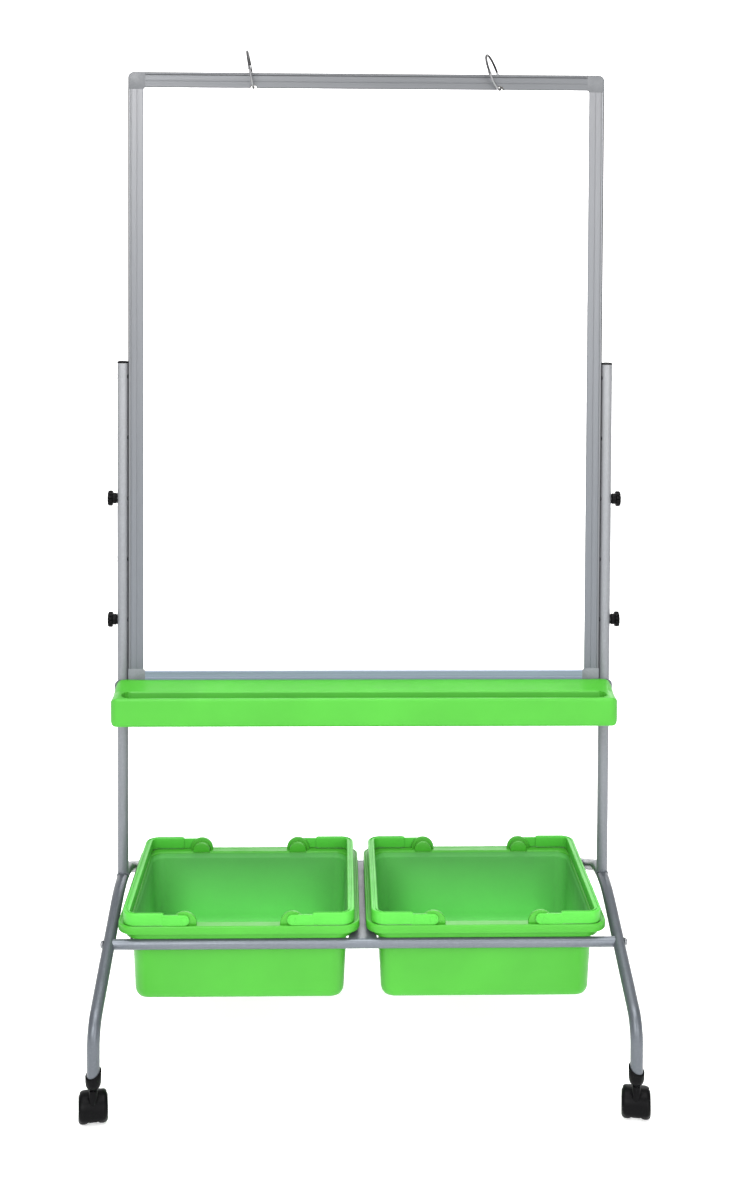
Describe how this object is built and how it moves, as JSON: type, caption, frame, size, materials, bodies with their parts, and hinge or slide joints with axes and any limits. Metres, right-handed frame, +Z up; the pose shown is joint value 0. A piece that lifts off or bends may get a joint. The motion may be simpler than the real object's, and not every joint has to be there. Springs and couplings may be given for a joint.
{
  "type": "kids easel",
  "caption": "Mobile double-sided marker board for children on an arched tube base, with binder rings, marker tray, lift-out tubs and swivel casters.",
  "frame": {"origin": "on the floor, midway between the two posts", "axes": "+X along the board to the viewer's right, -Y out of the front writing face, +Z up"},
  "size_m": [0.8474, 0.6258, 1.606],
  "materials": {
    "tube_paint": "satin silver-grey paint",
    "frame_alloy": "satin anodised",
    "corner_plastic": "satin",
    "white_sheet": "gloss enamel",
    "core_board": "matte",
    "green_plastic": "satin moulded",
    "black_plastic": "satin moulded",
    "wheel_plastic": "satin",
    "ring_steel": "nickel plated",
    "zinc_steel": "zinc plated"
  },
  "bodies": {
    "stand": {"side_tube_left": "tube_paint", "side_tube_right": "tube_paint", "post_left": "tube_paint", "post_right": "tube_paint", "post_caps": "black_plastic", "front_rail": "tube_paint", "rear_rail": "tube_paint", "rail_bolts": "zinc_steel", "centre_support": "tube_paint", "tray_beam": "tube_paint", "marker_tray": "green_plastic", "tray_screws": "zinc_steel", "caster_sockets": "black_plastic", "knob_studs": "zinc_steel", "knob_washers": "black_plastic"},
    "board": {"top_rail": "frame_alloy", "bottom_rail": "frame_alloy", "left_stile": "frame_alloy", "right_stile": "frame_alloy", "board_corners": "corner_plastic", "front_sheet": "white_sheet", "board_core": "core_board", "rear_sheet": "white_sheet"},
    "ring_left": {"ring_left_hoop": "ring_steel", "ring_left_pin": "ring_steel"},
    "ring_left_gate": {"ring_left_gate": "ring_steel"},
    "ring_right": {"ring_right_hoop": "ring_steel", "ring_right_pin": "ring_steel"},
    "ring_right_gate": {"ring_right_gate": "ring_steel"},
    "knob_left_upper": {"knob_left_upper": "black_plastic"},
    "knob_left_lower": {"knob_left_lower": "black_plastic"},
    "knob_right_upper": {"knob_right_upper": "black_plastic"},
    "knob_right_lower": {"knob_right_lower": "black_plastic"},
    "tub_left": {"tub_left": "green_plastic"},
    "tub_left_handle_outer": {"tub_left_handle_outer": "green_plastic"},
    "tub_left_handle_inner": {"tub_left_handle_inner": "green_plastic"},
    "tub_right": {"tub_right": "green_plastic"},
    "tub_right_handle_outer": {"tub_right_handle_outer": "green_plastic"},
    "tub_right_handle_inner": {"tub_right_handle_inner": "green_plastic"},
    "caster_front_left": {"caster_front_left_hood": "black_plastic", "caster_front_left_stem": "zinc_steel", "caster_front_left_axle": "zinc_steel"},
    "caster_front_left_wheel_a": {"caster_front_left_wheel_a": "wheel_plastic"},
    "caster_front_left_wheel_b": {"caster_front_left_wheel_b": "wheel_plastic"},
    "caster_front_right": {"caster_front_right_hood": "black_plastic", "caster_front_right_stem": "zinc_steel", "caster_front_right_axle": "zinc_steel"},
    "caster_front_right_wheel_a": {"caster_front_right_wheel_a": "wheel_plastic"},
    "caster_front_right_wheel_b": {"caster_front_right_wheel_b": "wheel_plastic"},
    "caster_rear_left": {"caster_rear_left_hood": "black_plastic", "caster_rear_left_stem": "zinc_steel", "caster_rear_left_axle": "zinc_steel"},
    "caster_rear_left_wheel_a": {"caster_rear_left_wheel_a": "wheel_plastic"},
    "caster_rear_left_wheel_b": {"caster_rear_left_wheel_b": "wheel_plastic"},
    "caster_rear_right": {"caster_rear_right_hood": "black_plastic", "caster_rear_right_stem": "zinc_steel", "caster_rear_right_axle": "zinc_steel"},
    "caster_rear_right_wheel_a": {"caster_rear_right_wheel_a": "wheel_plastic"},
    "caster_rear_right_wheel_b": {"caster_rear_right_wheel_b": "wheel_plastic"}
  },
  "joints": [
    {"name": "board_lift", "type": "slide", "parent": "stand", "child": "board", "axis": [0, 0, 1], "range_m": [0, 0.2]},
    {"name": "ring_left_swing", "type": "hinge", "parent": "board", "child": "ring_left", "pos_m": [-0.185, 0, 1.5453], "axis": [0, 1, 0], "range_deg": [-47, 66]},
    {"name": "ring_left_open", "type": "hinge", "parent": "ring_left", "child": "ring_left_gate", "pos_m": [-0.19011, -0.03, 1.57486], "axis": [0.9854, 0, 0.1702], "range_deg": [0, 60]},
    {"name": "ring_right_swing", "type": "hinge", "parent": "board", "child": "ring_right", "pos_m": [0.217, 0, 1.5453], "axis": [0, 1, 0], "range_deg": [-36, 77]},
    {"name": "ring_right_open", "type": "hinge", "parent": "ring_right", "child": "ring_right_gate", "pos_m": [0.19762, -0.02845, 1.5701], "axis": [0.8888, -0.3173, 0.3306], "range_deg": [0, 60]},
    {"name": "knob_left_upper_turn", "type": "hinge", "parent": "stand", "child": "knob_left_upper", "pos_m": [-0.41, 0, 0.874], "axis": [-1, 0, 0], "range_deg": [0, 720]},
    {"name": "knob_left_lower_turn", "type": "hinge", "parent": "stand", "child": "knob_left_lower", "pos_m": [-0.41, 0, 0.674], "axis": [-1, 0, 0], "range_deg": [0, 720]},
    {"name": "knob_right_upper_turn", "type": "hinge", "parent": "stand", "child": "knob_right_upper", "pos_m": [0.41, 0, 0.874], "axis": [1, 0, 0], "range_deg": [0, 720]},
    {"name": "knob_right_lower_turn", "type": "hinge", "parent": "stand", "child": "knob_right_lower", "pos_m": [0.41, 0, 0.674], "axis": [1, 0, 0], "range_deg": [0, 720]},
    {"name": "tub_left_lift", "type": "slide", "parent": "stand", "child": "tub_left", "axis": [0, 0, 1], "range_m": [0, 0.15]},
    {"name": "tub_left_handle_outer_swing", "type": "hinge", "parent": "tub_left", "child": "tub_left_handle_outer", "pos_m": [-0.2805, 0, 0.241], "axis": [0, 1, 0], "range_deg": [0, 130]},
    {"name": "tub_left_handle_inner_swing", "type": "hinge", "parent": "tub_left", "child": "tub_left_handle_inner", "pos_m": [-0.1125, 0, 0.241], "axis": [0, -1, 0], "range_deg": [0, 130]},
    {"name": "tub_right_lift", "type": "slide", "parent": "stand", "child": "tub_right", "axis": [0, 0, 1], "range_m": [0, 0.15]},
    {"name": "tub_right_handle_outer_swing", "type": "hinge", "parent": "tub_right", "child": "tub_right_handle_outer", "pos_m": [0.2745, 0, 0.241], "axis": [0, -1, 0], "range_deg": [0, 130]},
    {"name": "tub_right_handle_inner_swing", "type": "hinge", "parent": "tub_right", "child": "tub_right_handle_inner", "pos_m": [0.1065, 0, 0.241], "axis": [0, 1, 0], "range_deg": [0, 130]},
    {"name": "caster_front_left_swivel", "type": "hinge", "parent": "stand", "child": "caster_front_left", "pos_m": [-0.397, -0.3, 0.05], "axis": [0, 0, 1], "continuous": true},
    {"name": "caster_front_left_wheel_a_roll", "type": "hinge", "parent": "caster_front_left", "child": "caster_front_left_wheel_a", "pos_m": [-0.3996, -0.28523, 0.021], "axis": [0.9848, 0.1736, 0], "continuous": true},
    {"name": "caster_front_left_wheel_b_roll", "type": "hinge", "parent": "caster_front_left", "child": "caster_front_left_wheel_b", "pos_m": [-0.3996, -0.28523, 0.021], "axis": [0.9848, 0.1736, 0], "continuous": true},
    {"name": "caster_front_right_swivel", "type": "hinge", "parent": "stand", "child": "caster_front_right", "pos_m": [0.397, -0.3, 0.05], "axis": [0, 0, 1], "continuous": true},
    {"name": "caster_front_right_wheel_a_roll", "type": "hinge", "parent": "caster_front_right", "child": "caster_front_right_wheel_a", "pos_m": [0.3996, -0.28523, 0.021], "axis": [0.9848, -0.1736, 0], "continuous": true},
    {"name": "caster_front_right_wheel_b_roll", "type": "hinge", "parent": "caster_front_right", "child": "caster_front_right_wheel_b", "pos_m": [0.3996, -0.28523, 0.021], "axis": [0.9848, -0.1736, 0], "continuous": true},
    {"name": "caster_rear_left_swivel", "type": "hinge", "parent": "stand", "child": "caster_rear_left", "pos_m": [-0.397, 0.3, 0.05], "axis": [0, 0, 1], "continuous": true},
    {"name": "caster_rear_left_wheel_a_roll", "type": "hinge", "parent": "caster_rear_left", "child": "caster_rear_left_wheel_a", "pos_m": [-0.3996, 0.28523, 0.021], "axis": [0.9848, -0.1736, 0], "continuous": true},
    {"name": "caster_rear_left_wheel_b_roll", "type": "hinge", "parent": "caster_rear_left", "child": "caster_rear_left_wheel_b", "pos_m": [-0.3996, 0.28523, 0.021], "axis": [0.9848, -0.1736, 0], "continuous": true},
    {"name": "caster_rear_right_swivel", "type": "hinge", "parent": "stand", "child": "caster_rear_right", "pos_m": [0.397, 0.3, 0.05], "axis": [0, 0, 1], "continuous": true},
    {"name": "caster_rear_right_wheel_a_roll", "type": "hinge", "parent": "caster_rear_right", "child": "caster_rear_right_wheel_a", "pos_m": [0.3996, 0.28523, 0.021], "axis": [0.9848, 0.1736, 0], "continuous": true},
    {"name": "caster_rear_right_wheel_b_roll", "type": "hinge", "parent": "caster_rear_right", "child": "caster_rear_right_wheel_b", "pos_m": [0.3996, 0.28523, 0.021], "axis": [0.9848, 0.1736, 0], "continuous": true}
  ]
}
